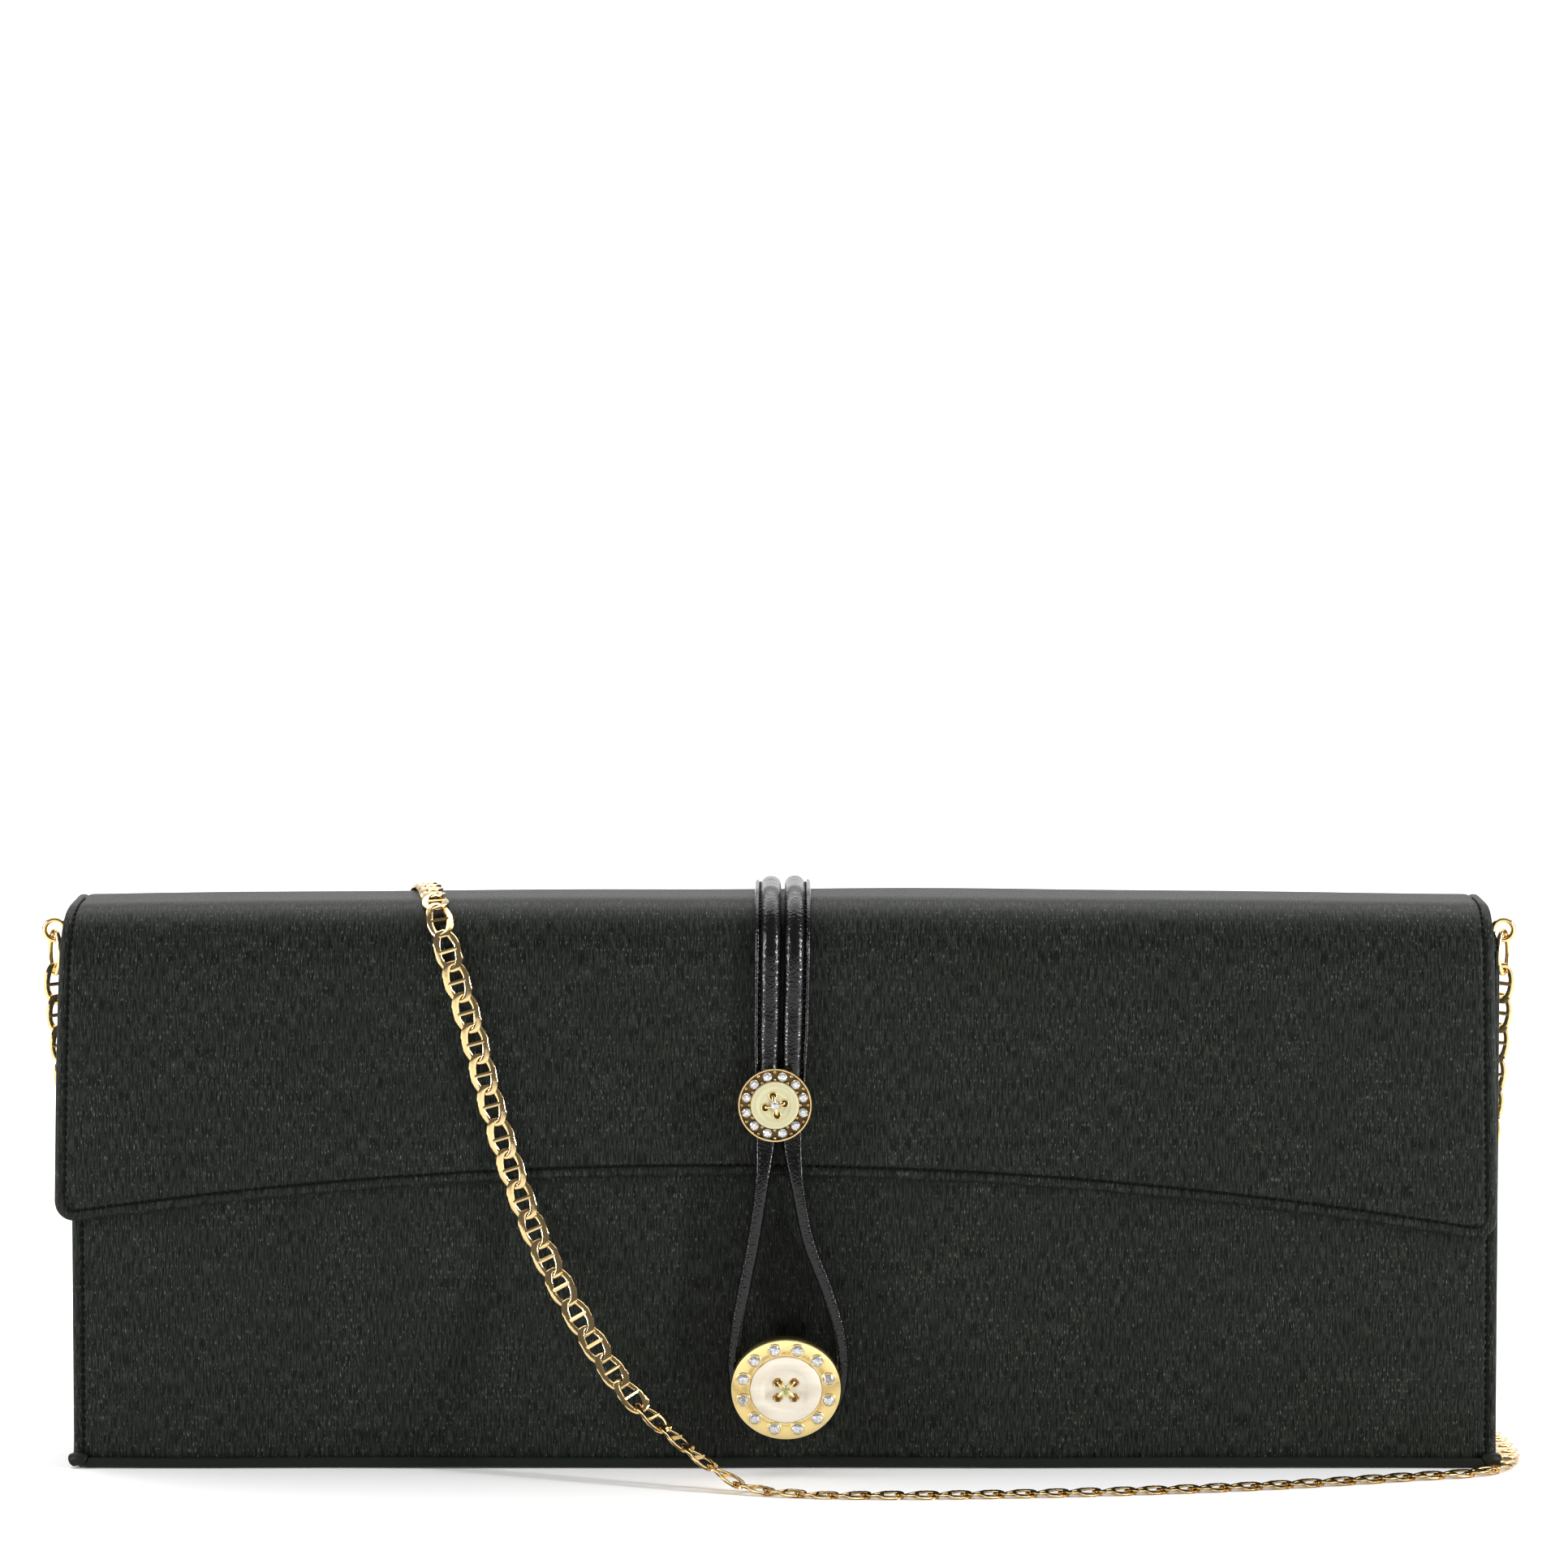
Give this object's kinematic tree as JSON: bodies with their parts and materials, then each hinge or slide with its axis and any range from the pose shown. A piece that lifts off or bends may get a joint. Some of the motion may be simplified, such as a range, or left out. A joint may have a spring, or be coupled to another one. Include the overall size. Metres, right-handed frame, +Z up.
{
  "type": "clutch purse",
  "caption": "Long slim satin evening clutch with a curved flap, a leather loop hooked over a crystal-set button, and a flat gold link shoulder chain.",
  "frame": {"origin": "centre of the case's base, on the surface it stands on", "axes": "+Z up, +X along the length to the right as the front is seen, front facing -Y"},
  "size_m": [0.3228, 0.1154, 0.1259],
  "materials": {
    "satin": "black satin weave, low sheen, fine upright slubs",
    "lining": "smooth black lining cloth",
    "board": "pressed paperboard",
    "leather": "grained black, glossy",
    "gold": "polished gold plate",
    "cream_disc": "satin cream enamel",
    "pearl_disc": "pearly cream",
    "crystal": "cut clear crystal",
    "pale_green_crystal": "cut pale green crystal"
  },
  "bodies": {
    "case": {"base_cover": "satin", "base_board": "board", "base_lining": "lining", "front_cover": "satin", "front_board": "board", "front_lining": "lining", "back_cover": "satin", "back_board": "board", "back_lining": "lining", "gusset_left": "satin", "gusset_right": "satin", "slip_pocket": "lining", "front_welt": "satin", "strap_anchor": "leather", "large_button_post": "gold", "side_eye_left": "gold", "side_eye_right": "gold", "chain_ring_left": "gold", "chain_ring_right": "gold", "chain_left": "gold", "chain_drape": "gold", "chain_right": "gold"},
    "flap": {"flap_cover": "satin", "flap_board": "board", "flap_lining": "lining", "strap_left": "leather", "strap_right": "leather"},
    "small_button": {"small_button_cup": "gold", "small_button_disc": "cream_disc", "small_button_thread": "gold", "small_button_centre_stone": "crystal", "small_button_stone_01": "crystal", "small_button_stone_02": "crystal", "small_button_stone_03": "crystal", "small_button_stone_04": "crystal", "small_button_stone_05": "crystal", "small_button_stone_06": "crystal", "small_button_stone_07": "crystal", "small_button_stone_08": "crystal", "small_button_stone_09": "crystal", "small_button_stone_10": "crystal", "small_button_stone_11": "crystal", "small_button_stone_12": "crystal"},
    "loop": {"loop_strap": "leather"},
    "large_button": {"large_button_head": "gold", "large_button_disc": "pearl_disc", "large_button_thread": "gold", "large_button_centre_stone": "pale_green_crystal", "large_button_stone_01": "crystal", "large_button_stone_02": "crystal", "large_button_stone_03": "crystal", "large_button_stone_04": "crystal", "large_button_stone_05": "crystal", "large_button_stone_06": "crystal", "large_button_stone_07": "crystal", "large_button_stone_08": "crystal", "large_button_stone_09": "crystal", "large_button_stone_10": "crystal", "large_button_stone_11": "crystal", "large_button_stone_12": "crystal"}
  },
  "joints": [
    {"name": "flap_hinge", "type": "hinge", "parent": "case", "child": "flap", "pos_m": [0, 0.018, 0.1195], "axis": [-1, 0, 0], "range_deg": [0, 165], "deforming": ["chain_drape", "loop_strap"]},
    {"name": "loop_swing", "type": "hinge", "parent": "flap", "child": "loop", "pos_m": [-0.0013, -0.0208, 0.0712], "axis": [-1, 0, 0], "range_deg": [0, 75], "deforming": ["loop_strap"]},
    {"name": "small_button_turn", "type": "hinge", "parent": "flap", "child": "small_button", "pos_m": [-0.0021, -0.0265, 0.0794], "axis": [0, -1, 0], "range_deg": [-30, 30]},
    {"name": "large_button_turn", "type": "hinge", "parent": "case", "child": "large_button", "pos_m": [0.00025, -0.0286, 0.0186], "axis": [0, -0.9659, -0.2588], "range_deg": [-45, 45]}
  ]
}
